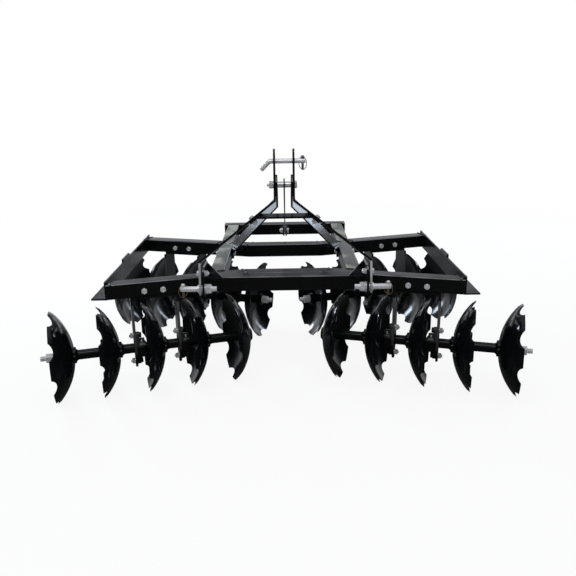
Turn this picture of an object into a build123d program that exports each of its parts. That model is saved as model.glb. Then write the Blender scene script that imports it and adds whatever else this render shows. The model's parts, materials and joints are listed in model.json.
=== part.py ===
from build123d import *
import math
import os

# Tandem disc harrow for a small tractor's three-point hitch: a welded and bolted frame of square
# tube and two pairs of disc gangs that turn freely below it.
# Millimetres. +X is to the right as seen from the tractor, +Y rearward, +Z up.
# The model is laid out from the front face of the front crossbar and from the ground, and is moved
# at the end so that the origin is the middle of the overall box, on the ground.

# Frame tubes and plates
tube = 63.5
tube_wall = 6.35
tube_corner = 6.0
plate = 8.0
frame_top = 484.9
fit_gap = 0.2

# Main rectangle
rail_outer = 327.0
front_crossbar_half = 322.0
rear_crossbar_half = 348.0
rear_crossbar_y = 1079.5

# Gang beams: straight in the middle, wings swept forward at the front and rearward at the back
gang_angle = 16.0
bend_x = 176.0
rear_beam_y = 571.5

# Side angles and their splice
side_x = 723.0
angle_tall = 76.0
angle_wide = 64.0
angle_wall = 6.35
splice_length = 120.0
splice_height = 66.0
splice_y = 300.0
splice_rise = 8.0

# Discs
disc_diameter = 381.0
disc_thickness = 4.0
disc_depth = 75.0
disc_flat = 45.0
edge_bevel = 10.0
edge_thickness = 1.4
notch_count = 8
notch_radius = 54.0
notch_depth = 17.0
disc_count = 5
disc_spacing = 184.15

# Turn of each disc on its axle, from the outermost front disc inwards and from the innermost rear
# disc outwards: degrees that its lowest notch lies rearward (front gangs) or forward (rear gangs)
front_right_turns = [10.0, 7.0, -15.0, -21.0, 18.0]
front_left_turns = [17.0, 5.0, -13.0, -19.0, 9.0]
rear_right_turns = [-15.0, -3.0, -21.0, -12.0, 21.0]
rear_left_turns = [-3.0, -9.0, 0.0, -9.0, 12.0]

# Gang places along the wings, from the bend
front_outer_disc = 730.0
rear_inner_disc = 22.0

# Axle and spools
axle_side = 25.4
axle_gap = 0.3
spool_neck = 21.5
spool_flange = 36.0
flange_thickness = 9.0
end_spool = 70.0
end_flange = 29.0
washer_radius = 26.0
washer_thickness = 8.0
nut_flats = 36.0
nut_length = 34.0
thread_radius = 11.0
thread_tail = 20.0
inner_flange = 6.0
head_thickness = 8.0

# Bearings and hangers
journal = 24.0
running_gap = 0.05
shoulder = 28.0
shoulder_length = 4.0
end_play = 0.5
housing_radius = 41.0
housing_length = 34.0
bearing_flange = 12.0
bearing_bolt_reach = 57.0
bearing_lobe = 15.0
hanger_plate = 10.0
hanger_width = 100.0
hanger_hole = 34.0
hanger_tip = 22.0
hanger_tip_drop = 62.0
hanger_to_disc = 64.0
bracket_thickness = 8.0
bracket_leg = 60.0
beam_bolt_spacing = 76.0
beam_bolt_drop = 6.0
beam_bolt_hole = 8.5

# Three-point hitch
pin_y = -100.0
pin_z = 466.3
pin_radius = 11.0
pin_reach = 79.0
pin_tail = 45.0
pin_collar = 17.0
collar_length = 8.0
pin_nut_flats = 34.0
pin_nut_length = 26.0
lug_gap = 6.0
lug_radius = 32.0
lug_bolt_rise = 61.0
lug_bolt_hole = 7.5
gusset_width = 59.0
gusset_rise = 64.0
bar_width = 50.0
top_pin_y = 3.0
top_pin_z = 956.3
top_pin_radius = 9.5
top_pin_left = -57.0
top_pin_right = 86.0
handle_reach = 48.0
mast_half_gap = 34.0
mast_top_rise = 47.0
mast_upper_bend = 346.0
mast_lower_bend = 108.0
mast_bolt_rise = 409.0
mast_bolt_radius = 8.0
mast_bolt_flats = 26.0
mast_bolt_tail = 26.0
sleeve_radius = 12.0
cross_brace_rise = 286.0
cross_tab = 45.0
cross_tilt = 17.0
brace_lead = 46.0
brace_upper_bend = 145.0
brace_lower_run = 48.0
brace_tail = 28.0
brace_foot_y = 540.0
strap_wide = 48.0
strap_thickness = 6.0
clevis_depth = 60.0
clevis_height = 50.0

# Linchpins
linch_radius = 5.0
linch_head = 7.0
linch_head_height = 11.0
linch_ring = 27.0
linch_ring_drop = 8.0
linch_ring_turn = 58.0
linch_wire = 2.2
linch_inset = 12.0

# Worked out from the sizes above
frame_bottom = frame_top - tube
frame_middle = frame_top - tube / 2
front_beam_y = tube
disc_radius = disc_diameter / 2
axle_z = disc_radius
rail_x = rail_outer - tube / 2
rail_inner = rail_outer - tube
sweep = math.radians(gang_angle)
lug_inner = front_crossbar_half
lug_outer = lug_inner + plate
strap_inner = lug_outer + lug_gap
strap_outer = strap_inner + plate
pin_outer = strap_outer + pin_reach
pin_inner = lug_inner - pin_tail
X_AXIS = (1, 0, 0)
Z_AXIS = (0, 0, 1)

nodes = {}


def along_x(radius, start, end, y, z):
    """round bar or drill along X between two X values"""
    return Pos((start + end) / 2, y, z) * Rot(0, 90, 0) * Cylinder(radius, abs(end - start))


def hexagon_x(flats, start, end, y, z):
    """hexagonal nut or bolt head along X, its size given across the flats"""
    section = Plane(origin=(start, y, z), x_dir=Z_AXIS, z_dir=X_AXIS)
    return extrude(section * RegularPolygon(flats / 2, 6, major_radius=False), end - start)


def trim(solid, origin, normal):
    """what is left of a solid on the side that the normal points to"""
    return split(solid, bisect_by=Plane(origin=origin, z_dir=normal), keep=Keep.TOP)


def level_tube(start, direction, length):
    """square tube lying level, its middle line running from start along direction"""
    section = Plane(origin=start, x_dir=Z_AXIS, z_dir=direction)
    bore = tube - 2 * tube_wall
    return extrude(section * (RectangleRounded(tube, tube, tube_corner) - Rectangle(bore, bore)), length)


def both_sides(name, right):
    """a piece for the right side and its mirror image for the left"""
    nodes[name + "_right"] = right
    nodes[name + "_left"] = mirror(right, about=Plane.YZ)


def bar_outline(points, thickness):
    """a flat bar seen on its edge: its middle line thickened, with mitred bends"""
    steps = [(Vector(*b) - Vector(*a)).normalized() for a, b in zip(points, points[1:])]
    one_side, other_side = [], []
    for i, point in enumerate(points):
        before, after = steps[max(i - 1, 0)], steps[min(i, len(steps) - 1)]
        bisector = (before + after).normalized()
        normal = Vector(-bisector.Y, bisector.X)
        reach = thickness / 2 / bisector.dot(before)
        one_side.append(Vector(*point) + normal * reach)
        other_side.append(Vector(*point) - normal * reach)
    corners = [(p.X, p.Y) for p in one_side + other_side[::-1]]
    return make_face(Polyline(*corners, close=True))


# Front and rear crossbars and the two main rails: one welded rectangle of square tube
class Wing:
    """the line of one right-hand wing and of the gang below it"""

    def __init__(self, beam_y, towards):
        self.y = beam_y + tube / 2
        self.direction = Vector(math.cos(sweep), towards * math.sin(sweep), 0)
        self.rearward = Vector(-towards * math.sin(sweep), math.cos(sweep), 0)
        self.mitre = Vector(math.cos(sweep / 2), towards * math.sin(sweep / 2), 0)

    def point(self, run, z, back=0.0):
        """a point at a run outwards from the bend, at a height, and behind the wing's middle line"""
        flat = self.direction * run + self.rearward * back
        return Vector(bend_x + flat.X, self.y + flat.Y, z)


front_wing = Wing(front_beam_y, -1)
rear_wing = Wing(rear_beam_y, 1)
wing_front_face = front_wing.point(0, frame_middle, -tube / 2)
wing_back_face = front_wing.point(0, frame_middle, tube / 2)

crossbar = level_tube((-front_crossbar_half, tube / 2, frame_middle), X_AXIS, 2 * front_crossbar_half)
forward = -front_wing.rearward
crossbar = trim(crossbar, wing_front_face, forward)
mirrored_point = (-wing_front_face.X, wing_front_face.Y, wing_front_face.Z)
nodes["front_crossbar"] = trim(crossbar, mirrored_point, (-forward.X, forward.Y, 0))

nodes["rear_crossbar"] = level_tube((-rear_crossbar_half, rear_crossbar_y + tube / 2, frame_middle),
                                    X_AXIS, 2 * rear_crossbar_half)

rail = level_tube((rail_x, 0, frame_middle), (0, 1, 0), rear_crossbar_y)
both_sides("main_rail", trim(rail, wing_back_face, front_wing.rearward))

# Gang beams: a straight middle and two wings mitred to it. The rear one is let in between the rails.
wing_run = (side_x - bend_x) / math.cos(sweep) + tube


def wing_tube(wing):
    """a right-hand wing from its mitred bend to the side angle"""
    bar = level_tube(wing.point(-tube, frame_middle), wing.direction, wing_run + tube)
    bar = trim(bar, wing.point(0, frame_middle), wing.mitre)
    return trim(bar, (side_x, 0, 0), (-1, 0, 0))


def middle_tube(wing):
    """the straight middle of a beam, mitred at both ends"""
    bar = level_tube((-bend_x - tube, wing.y, frame_middle), X_AXIS, 2 * (bend_x + tube))
    bar = trim(bar, (bend_x, wing.y, 0), -wing.mitre)
    return trim(bar, (-bend_x, wing.y, 0), (wing.mitre.X, -wing.mitre.Y, 0))


nodes["front_beam_middle"] = middle_tube(front_wing)
both_sides("front_beam", wing_tube(front_wing))
rear_bar = wing_tube(rear_wing)
rear_stub = trim(rear_bar, (rail_inner, 0, 0), (-1, 0, 0))
nodes["rear_beam_middle"] = middle_tube(rear_wing) + rear_stub + mirror(rear_stub, about=Plane.YZ)
both_sides("rear_beam", trim(rear_bar, (rail_outer, 0, 0), X_AXIS))

# Side angles that tie the wings' outer ends together, with a splice plate on the outer face
tip_run = (side_x - bend_x) / math.cos(sweep)
side_front = front_wing.point(tip_run, 0, -tube / 2).Y
side_rear = rear_wing.point(tip_run, 0, tube / 2).Y
upright = Box(angle_wall, side_rear - side_front, angle_tall, align=(Align.MIN, Align.MIN, Align.MIN))
ledge = Box(angle_wide, side_rear - side_front, angle_wall, align=(Align.MIN, Align.MIN, Align.MIN))
both_sides("side_angle", Pos(side_x, side_front, frame_bottom) * (upright + ledge))
splice = Box(plate, splice_length, splice_height, align=(Align.MIN, Align.CENTER, Align.MAX))
both_sides("side_splice", Pos(side_x + angle_wall, splice_y, frame_bottom + angle_tall + splice_rise) * splice)

# Hitch lugs: a plate welded on each end of the front crossbar, reaching forward to the lower pin,
# with a triangular gusset standing on the crossbar's front edge
lug_bolt_y = pin_y + lug_bolt_rise * (top_pin_y - pin_y) / (top_pin_z - pin_z)
lug_bolt_z = pin_z + lug_bolt_rise
lug_plane = Plane(origin=(lug_inner, 0, 0), x_dir=(0, 1, 0), z_dir=X_AXIS)
gusset_top = frame_top + gusset_rise
lug_edges = (
    (Pos(pin_y, pin_z) * Circle(lug_radius)).edges()
    + (Pos(lug_bolt_y, lug_bolt_z) * Circle(lug_radius * 0.8)).edges()
    + (Pos(tube / 4, (frame_bottom + gusset_top) / 2) * Rectangle(tube / 2, gusset_top - frame_bottom)).edges()
)
lug = extrude(lug_plane * make_hull(lug_edges), plate)
lug = trim(lug, wing_front_face, forward)
gusset_plane = Plane(origin=(0, plate, 0), x_dir=X_AXIS, z_dir=(0, -1, 0))
gusset = make_face(Polyline((lug_inner, frame_top), (lug_inner, gusset_top),
                            (lug_inner - gusset_width, frame_top), close=True))
lug += extrude(gusset_plane * gusset, plate)
lug -= along_x(pin_radius + fit_gap, lug_inner - plate, lug_outer + plate, pin_y, pin_z)
lug -= along_x(lug_bolt_hole, lug_inner - plate, lug_outer + plate, lug_bolt_y, lug_bolt_z)
both_sides("hitch_lug", lug)

# Mast: two bent flat bars from the lower pins up to the top-link pin, in one leaning plane
lean = math.atan2(top_pin_y - pin_y, top_pin_z - pin_z)
mast_length = math.hypot(top_pin_y - pin_y, top_pin_z - pin_z)
mast_plane = Plane(origin=(0, pin_y, pin_z), x_dir=X_AXIS, z_dir=(0, -math.cos(lean), math.sin(lean)))
mast_x = mast_half_gap + plate / 2
foot_x = strap_inner + plate / 2


def mast_point(rise):
    """the Y and Z of a point at a rise up the mast from the lower pins"""
    return pin_y + rise * math.sin(lean), pin_z + rise * math.cos(lean)


mast_line = [(foot_x, -lug_radius), (foot_x, mast_lower_bend), (mast_x, mast_upper_bend),
             (mast_x, mast_length + mast_top_rise)]
strap = extrude(mast_plane * bar_outline(mast_line, plate), bar_width / 2, both=True)
strap = fillet(strap.edges().filter_by(Axis.X), bar_width * 0.4)
strap -= along_x(pin_radius + fit_gap, lug_outer, strap_outer + plate, pin_y, pin_z)
strap -= along_x(lug_bolt_hole, lug_outer, strap_outer + plate, lug_bolt_y, lug_bolt_z)
strap -= along_x(top_pin_radius + fit_gap, 0, mast_x + plate, top_pin_y, top_pin_z)
bolt_y, bolt_z = mast_point(mast_bolt_rise)
strap -= along_x(mast_bolt_radius + fit_gap, 0, mast_x + plate, bolt_y, bolt_z)
both_sides("mast_strap", strap)

# Rear braces: flat bars bolted inside the mast and to the inner sides of the rails
brace_run = math.hypot(brace_foot_y - bolt_y, frame_middle - bolt_z)
brace_y, brace_z = (brace_foot_y - bolt_y) / brace_run, (frame_middle - bolt_z) / brace_run
brace_plane = Plane(origin=(0, bolt_y, bolt_z), x_dir=X_AXIS, z_dir=(0, -brace_z, brace_y))
brace_x = mast_half_gap - plate / 2
brace_foot_x = rail_inner - plate / 2
brace_line = [(brace_x, -brace_lead), (brace_x, brace_upper_bend),
              (brace_foot_x, brace_run - brace_lower_run), (brace_foot_x, brace_run + brace_tail)]
brace = extrude(brace_plane * bar_outline(brace_line, plate), bar_width / 2, both=True)
brace = fillet(brace.edges().filter_by(Axis.X), bar_width * 0.3)
brace -= along_x(mast_bolt_radius + fit_gap, 0, mast_x, bolt_y, bolt_z)
brace -= along_x(mast_bolt_radius + fit_gap, brace_foot_x - plate, rail_inner, brace_foot_y, frame_middle)
both_sides("rear_brace", brace)

# Cross brace between the mast's splayed straps: a bar lying nearly level, its ends bent down along
# the straps' inner faces
splay = Vector(foot_x - mast_x, mast_lower_bend - mast_upper_bend).normalized()
inward = Vector(splay.Y, -splay.X)
inner_line = Vector(mast_x, mast_upper_bend) + inward * plate
cross_bend = inner_line + splay * ((cross_brace_rise - inner_line.Y) / splay.Y)
cross_end = cross_bend + splay * cross_tab
cross_start = cross_bend - splay * cross_tab
tab_line = [(cross_start.X, cross_start.Y), (cross_end.X, cross_end.Y)]
tab = extrude(bar_outline(tab_line, plate), bar_width / 2, both=True)
top_face = Pos(0, cross_brace_rise, 0) * Rot(cross_tilt, 0, 0) * Pos(0, plate / 2, 0)
top_normal = Vector(0, math.cos(math.radians(cross_tilt)), math.sin(math.radians(cross_tilt)))
tab = trim(tab, top_face.position, -top_normal)
strap_face = cross_bend - inward * plate / 2
cross_bar = Pos(0, cross_brace_rise, 0) * Rot(cross_tilt, 0, 0) * Box(2 * foot_x, plate, bar_width)
cross_bar = trim(cross_bar, strap_face, inward)
cross_bar = trim(cross_bar, (-strap_face.X, strap_face.Y, 0), (-inward.X, inward.Y, 0))
nodes["mast_cross_brace"] = mast_plane * (cross_bar + tab + mirror(tab, about=Plane.YZ))

# Centre strap from the mast bolt to a clevis on the rear crossbar
clevis_y = rear_crossbar_y - clevis_depth / 2
strap_run = math.hypot(clevis_y - bolt_y, frame_middle - bolt_z)
strap_y, strap_z = (clevis_y - bolt_y) / strap_run, (frame_middle - bolt_z) / strap_run
strap_plane = Plane(origin=(-strap_thickness / 2, bolt_y, bolt_z), x_dir=(0, strap_y, strap_z), z_dir=X_AXIS)
centre_strap = extrude(strap_plane * Pos(strap_run / 2, 0) * SlotCenterToCenter(strap_run, strap_wide), strap_thickness)
centre_strap -= along_x(mast_bolt_radius + fit_gap, -plate, plate, bolt_y, bolt_z)
centre_strap -= along_x(mast_bolt_radius + fit_gap, -plate, plate, clevis_y, frame_middle)
nodes["centre_strap"] = centre_strap
ear = Box(plate, clevis_depth, clevis_height, align=(Align.MIN, Align.MAX, Align.CENTER))
ear = Pos(strap_thickness / 2, rear_crossbar_y, frame_middle) * ear
clevis = ear + mirror(ear, about=Plane.YZ)
clevis += along_x(mast_bolt_radius, -strap_thickness / 2 - plate, strap_thickness / 2 + plate, clevis_y, frame_middle)
nodes["strap_clevis"] = clevis

# Mast bolt with the sleeves that keep the braces and the strap apart
bolt_reach = mast_x + plate / 2
mast_bolt = along_x(mast_bolt_radius, -bolt_reach - mast_bolt_tail, bolt_reach, bolt_y, bolt_z)
mast_bolt += hexagon_x(mast_bolt_flats, bolt_reach, bolt_reach + 9, bolt_y, bolt_z)
mast_bolt += hexagon_x(mast_bolt_flats, -bolt_reach - 19, -bolt_reach, bolt_y, bolt_z)
brace_inner = mast_half_gap - plate
for start, end in ((-brace_inner, -strap_thickness / 2), (strap_thickness / 2, brace_inner)):
    mast_bolt += along_x(sleeve_radius, start, end, bolt_y, bolt_z)
nodes["mast_bolt"] = mast_bolt

# Top-link pin, its end bent down at 45 degrees as a handle
top_pin = along_x(top_pin_radius, top_pin_left, top_pin_right, top_pin_y, top_pin_z)
handle_plane = Plane(origin=(top_pin_left, top_pin_y, top_pin_z), x_dir=(0, 1, 0), z_dir=(-1, 0, -1))
top_pin += extrude(handle_plane * Circle(top_pin_radius), handle_reach)
top_pin += Pos(top_pin_left, top_pin_y, top_pin_z) * Sphere(top_pin_radius)
top_linch_x = top_pin_right - linch_inset
top_pin -= Pos(top_linch_x, top_pin_y, top_pin_z) * Cylinder(linch_radius + fit_gap, 4 * top_pin_radius)
nodes["top_pin"] = top_pin

# Lower hitch pins, each shouldered against its strap and held by a nut inside the lug
lower_pin = along_x(pin_radius, pin_inner, pin_outer, pin_y, pin_z)
lower_pin += along_x(pin_collar, strap_outer, strap_outer + collar_length, pin_y, pin_z)
lower_pin += along_x(pin_collar, lug_outer, strap_inner, pin_y, pin_z)
lower_pin += hexagon_x(pin_nut_flats, lug_inner - pin_nut_length, lug_inner, pin_y, pin_z)
lower_linch_x = pin_outer - linch_inset
lower_pin -= Pos(lower_linch_x, pin_y, pin_z) * Cylinder(linch_radius + fit_gap, 4 * pin_radius)
both_sides("lower_pin", lower_pin)


def linchpin(x, y, z, carrier):
    """linchpin through a hitch pin: a shank with a head, and a wire ring from the head round to its tip"""
    head_z = z + carrier + 1
    tip_z = z - linch_ring_drop - linch_ring
    shank = Pos(x, y, (head_z + tip_z) / 2) * Cylinder(linch_radius, head_z - tip_z)
    shank += Pos(x, y, head_z + linch_head_height / 2) * Cylinder(linch_head, linch_head_height)
    ring = Pos(x, y, z - linch_ring_drop) * Rot(0, 0, linch_ring_turn) * Rot(90, 0, 0)
    return shank + ring * Torus(linch_ring, linch_wire)


lower_linch = linchpin(lower_linch_x, pin_y, pin_z, pin_radius)
nodes["linchpins"] = Compound(children=[
    linchpin(top_linch_x, top_pin_y, top_pin_z, top_pin_radius),
    lower_linch,
    mirror(lower_linch, about=Plane.YZ),
])


# Disc: a flat-centred dish with scalloped notches, opening towards +X
dish_centre = (disc_depth ** 2 + disc_radius ** 2 - disc_flat ** 2) / (2 * disc_depth)
outer_sphere = math.hypot(dish_centre, disc_flat)
inner_sphere = outer_sphere - disc_thickness


def dish(sphere, radius):
    """a point of the dished surface at a radius from the axle"""
    return dish_centre - math.sqrt(sphere ** 2 - radius ** 2), radius


def notched_disc(turn):
    """one disc with its lowest notch turned this many degrees from straight down towards local +Y"""
    bevel_radius = disc_radius - edge_bevel
    flat_radius = math.sqrt(inner_sphere ** 2 - (dish_centre - disc_thickness) ** 2)
    rim = dish(inner_sphere, disc_radius)
    half_way = (disc_flat + disc_radius) / 2
    outline = [
        Line((0, 0), (0, disc_flat)),
        ThreePointArc((0, disc_flat), dish(outer_sphere, half_way), dish(outer_sphere, bevel_radius)),
        Line(dish(outer_sphere, bevel_radius), (rim[0] - edge_thickness, disc_radius)),
        Line((rim[0] - edge_thickness, disc_radius), rim),
        ThreePointArc(rim, dish(inner_sphere, half_way), (disc_thickness, flat_radius)),
        Line((disc_thickness, flat_radius), (disc_thickness, 0)),
        Line((disc_thickness, 0), (0, 0)),
    ]
    disc = revolve(make_face(Wire(outline)), Axis.X)
    hole = axle_side + 2 * axle_gap
    disc -= Box(4 * disc_thickness, hole, hole)
    notch_reach = disc_radius - notch_depth + notch_radius
    for step in range(notch_count):
        place = Rot(turn + 360 * step / notch_count, 0, 0)
        disc -= place * Pos(disc_depth, 0, -notch_reach) * Rot(0, 90, 0) * Cylinder(notch_radius, 2 * disc_depth)
    return disc


def turned(points):
    """a round piece on the axle with a square bore, from the radii of its profile along X"""
    (start, _), (end, _) = points[0], points[-1]
    outline = make_face(Polyline((start, 0), *points, (end, 0), close=True))
    bore = axle_side + 2 * axle_gap
    body = revolve(outline, Axis.X)
    return body - Pos((start + end) / 2, 0, 0) * Box(end - start + 2, bore, bore)


def spool(start, end):
    """plain spool between two discs, with a flange against each"""
    a, b = start + flange_thickness, end - flange_thickness
    return turned([(start, spool_flange), (a, spool_flange), (a, spool_neck),
                   (b, spool_neck), (b, spool_flange), (end, spool_flange)])


def bearing_spool(start, end):
    """spool that carries a bearing: a ground journal between two shoulders"""
    a, b = start + flange_thickness, end - flange_thickness
    plate_face = end - hanger_to_disc - hanger_plate / 2
    right = plate_face + end_play
    left = plate_face - housing_length - end_play
    return turned([(start, spool_flange), (a, spool_flange), (a, spool_neck),
                   (left - shoulder_length, spool_neck), (left - shoulder_length, shoulder),
                   (left, shoulder), (left, journal), (right, journal), (right, shoulder),
                   (right + shoulder_length, shoulder), (right + shoulder_length, spool_neck),
                   (b, spool_neck), (b, spool_flange), (end, spool_flange)])


# The gang's own line runs along X, the first disc's back at 0 and the discs opening towards +X
disc_places = [-disc_spacing * k for k in range(disc_count)]
hanger_places = [disc_places[1] - hanger_to_disc, disc_places[2] - hanger_to_disc]


def gang_discs(turns):
    """the discs of one gang, each turned on the axle by its own angle"""
    discs = [Pos(place, 0, 0) * notched_disc(turn) for place, turn in zip(disc_places, turns)]
    return Compound(children=discs)


def gang_spools():
    """the spools between the discs, the long one outside the first and the flange inside the last"""
    pieces = [turned([(disc_thickness, spool_flange), (disc_thickness + flange_thickness, spool_flange),
                      (disc_thickness + flange_thickness, spool_neck), (end_spool - flange_thickness, spool_neck),
                      (end_spool - flange_thickness, end_flange), (end_spool, end_flange)])]
    for k in range(disc_count - 1):
        start, end = disc_places[k + 1] + disc_thickness, disc_places[k]
        make = bearing_spool if k in (1, 2) else spool
        pieces.append(make(start, end))
    last = disc_places[-1]
    pieces.append(turned([(last - inner_flange, spool_flange), (last, spool_flange)]))
    return Compound(children=pieces)


def gang_axle():
    """square axle with its round head inside the gang and a washer, nut and threaded end outside"""
    inner = disc_places[-1] - inner_flange
    bar = Pos((inner + end_spool) / 2, 0, 0) * Box(end_spool - inner, axle_side, axle_side)
    for start, end in ((inner - head_thickness, inner), (end_spool, end_spool + washer_thickness)):
        bar += along_x(washer_radius, start, end, 0, 0)
    nut_start = end_spool + washer_thickness
    bar += hexagon_x(nut_flats, nut_start, nut_start + nut_length, 0, 0)
    bar += along_x(thread_radius, nut_start + nut_length, nut_start + nut_length + thread_tail, 0, 0)
    return bar


def gang_bearings():
    """two-bolt flange bearings on the back of the hanger plates"""
    housings = []
    for place in hanger_places:
        face = place - hanger_plate / 2
        plane = Plane(origin=(face, 0, 0), x_dir=Z_AXIS, z_dir=(-1, 0, 0))
        lobes = Circle(housing_radius).edges()
        for side in (-1, 1):
            lobes += (Pos(side * bearing_bolt_reach, 0) * Circle(bearing_lobe)).edges()
        housing = extrude(plane * make_hull(lobes), bearing_flange)
        housing += extrude(plane * Circle(housing_radius), housing_length)
        housings.append(housing - extrude(plane * Circle(journal + running_gap), housing_length))
    return Compound(children=housings)


def gang_hanger(rear_side):
    """bracket under the beam and up its back face, with a hanger plate down from each end"""
    top = frame_bottom - bracket_thickness - axle_z
    start, end = hanger_places[1] - hanger_plate / 2, hanger_places[0] + hanger_plate / 2
    middle = (start + end) / 2
    reach = tube / 2 + bracket_thickness
    shelf = Box(end - start, reach + tube / 2, bracket_thickness, align=(Align.CENTER, Align.MIN, Align.MIN))
    wall = Box(end - start, bracket_thickness, bracket_leg, align=(Align.CENTER, Align.MIN, Align.MIN))
    shelf = Pos(middle, -tube / 2, top) * shelf
    wall = Pos(middle, tube / 2, top) * wall
    for side in (-1, 1):
        place = Pos(middle + side * beam_bolt_spacing / 2, tube / 2, frame_middle - beam_bolt_drop - axle_z)
        wall -= place * Rot(90, 0, 0) * Cylinder(beam_bolt_hole, 4 * bracket_thickness)
    bracket = shelf + wall
    if rear_side < 0:
        bracket = mirror(bracket, about=Plane.XZ)
    for place in hanger_places:
        plane = Plane(origin=(place - hanger_plate / 2, 0, 0), x_dir=(0, 1, 0), z_dir=X_AXIS)
        edges = (Pos(0, top - hanger_width / 4) * Rectangle(hanger_width, hanger_width / 2)).edges()
        edges += Circle(hanger_width / 2).edges()
        edges += (Pos(0, -hanger_tip_drop) * Circle(hanger_tip)).edges()
        blade = extrude(plane * (make_hull(edges) - Circle(hanger_hole)), hanger_plate)
        for side in (-1, 1):
            blade -= along_x(lug_bolt_hole, place - hanger_plate, place + hanger_plate, 0, side * bearing_bolt_reach)
        bracket += blade
    return bracket


# The four gangs: front ones open outwards, rear ones open inwards
gang_table = [
    # name, wing, run of the first disc from the bend, +1 opening outwards, side of the beam's back,
    # turns of the discs on the right and on the left
    ("front", front_wing, front_outer_disc, 1, 1, front_right_turns, front_left_turns),
    ("rear", rear_wing, rear_inner_disc, -1, -1, rear_right_turns, rear_left_turns),
]
gang_lines = {}
for name, wing, run, opening, rear_side, right_turns, left_turns in gang_table:
    origin = wing.point(run, axle_z)
    line = Plane(origin=origin, x_dir=wing.direction * opening, z_dir=Z_AXIS)
    gang_lines[name] = line
    both_sides(name + "_gang_hanger", line * gang_hanger(rear_side))
    both_sides(name + "_gang_bearings", line * gang_bearings())
    both_sides(name + "_gang_axle", line * gang_axle())
    both_sides(name + "_gang_spools", line * gang_spools())
    nodes[name + "_gang_discs_right"] = line * gang_discs(right_turns)
    nodes[name + "_gang_discs_left"] = mirror(line * gang_discs(left_turns), about=Plane.YZ)

# Move the whole so that the origin is the middle of its box on the ground, and write the pieces
whole = Compound(children=[Compound(node.solids()) for node in nodes.values()]).bounding_box()
shift = Pos(0, -(whole.min.Y + whole.max.Y) / 2, -whole.min.Z)
for name, node in nodes.items():
    export_step(shift * node, "parts/" + name + ".step")

print("shift", shift.position)
for name, line in gang_lines.items():
    print(name, "axle at", (shift * Pos(line.origin)).position, "along", line.x_dir)
print("box", whole.size)
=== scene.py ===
import bmesh
import bpy
import json
import math
import numpy as np
from mathutils import Matrix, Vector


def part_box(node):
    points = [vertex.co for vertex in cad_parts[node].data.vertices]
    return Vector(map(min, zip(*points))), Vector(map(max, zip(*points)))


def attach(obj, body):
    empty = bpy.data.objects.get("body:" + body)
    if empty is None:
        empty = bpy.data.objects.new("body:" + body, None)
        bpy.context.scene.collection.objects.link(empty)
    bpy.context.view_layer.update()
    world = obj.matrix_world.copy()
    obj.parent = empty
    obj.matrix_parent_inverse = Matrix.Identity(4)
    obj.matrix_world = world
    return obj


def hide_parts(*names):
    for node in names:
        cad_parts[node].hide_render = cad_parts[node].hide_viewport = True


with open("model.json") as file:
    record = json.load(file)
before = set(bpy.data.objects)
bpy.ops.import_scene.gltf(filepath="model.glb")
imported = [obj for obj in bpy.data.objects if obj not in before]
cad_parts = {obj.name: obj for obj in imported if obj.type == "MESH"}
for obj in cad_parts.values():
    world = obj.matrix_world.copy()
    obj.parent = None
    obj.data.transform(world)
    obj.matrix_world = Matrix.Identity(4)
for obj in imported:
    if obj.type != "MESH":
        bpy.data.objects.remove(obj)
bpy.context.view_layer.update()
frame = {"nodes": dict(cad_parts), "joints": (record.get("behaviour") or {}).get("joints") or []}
nodes = frame["nodes"]

# The eye that looks at the harrow.
# It stands in front of the hitch at a person's chest height and looks down on the frame a little,
# through a moderately long lens.
front_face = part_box("front_crossbar")[0].y
frame_bottom, frame_top = (corner.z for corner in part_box("front_crossbar"))
eye_back, eye_rise = 2.5145, 0.7357
eye_place = np.array([0.0, front_face - eye_back, frame_top + eye_rise])
eye_down, eye_turn, eye_roll = math.radians(17.38), math.radians(0.21), math.radians(0.84)
eye_focal, picture_width, film_width = 630.9, 576.0, 36.0


def stance(axes, place):
    """an object's matrix, from its three axes as columns and its place"""
    whole = np.eye(4)
    whole[:3, :3], whole[:3, 3] = axes, place
    return Matrix(whole.tolist())


ahead = np.array([math.sin(eye_turn) * math.cos(eye_down), math.cos(eye_turn) * math.cos(eye_down),
                  -math.sin(eye_down)])
level = np.array([math.cos(eye_turn), -math.sin(eye_turn), 0.0])
above = np.cross(level, ahead)
rightward = math.cos(eye_roll) * level - math.sin(eye_roll) * above
upward = math.sin(eye_roll) * level + math.cos(eye_roll) * above
lens = bpy.data.cameras.new("eye")
lens.sensor_width = film_width
lens.lens = eye_focal / picture_width * film_width
lens.clip_start, lens.clip_end = 0.05, 200.0
eye = bpy.data.objects.new("eye", lens)
eye.matrix_world = stance(np.stack([rightward, upward, -ahead], axis=1), eye_place)
bpy.context.scene.collection.objects.link(eye)
bpy.context.scene.camera = eye


# The floor and the room: a seamless pale sweep behind the harrow, and a dimmer room on the other side.
# The floor is matt and nearly white, and runs into the wall with no edge. As gloss paint mirrors it, it is
# brightest behind the harrow and to its left.
class Level:
    """A number or colour that varies over a surface. Each sum, difference or product adds a node."""

    def __init__(self, finish, socket):
        self.finish, self.socket = finish, socket

    def reckon(self, operation, *terms):
        return self.finish.node("Math", {"operation": operation}, dict(enumerate(terms)))

    def __add__(self, other):
        return self.reckon("ADD", self, other)

    def __sub__(self, other):
        return self.reckon("SUBTRACT", self, other)

    def __rsub__(self, other):
        return self.reckon("SUBTRACT", other, self)

    def __mul__(self, other):
        return self.reckon("MULTIPLY", self, other)

    __radd__, __rmul__ = __add__, __mul__

    def step(self, low, high):
        """0 below low, 1 above high, and a smooth rise between them"""
        return self.finish.node("MapRange", {"interpolation_type": "SMOOTHSTEP"},
                                {"Value": self, "From Min": low, "From Max": high})


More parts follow.
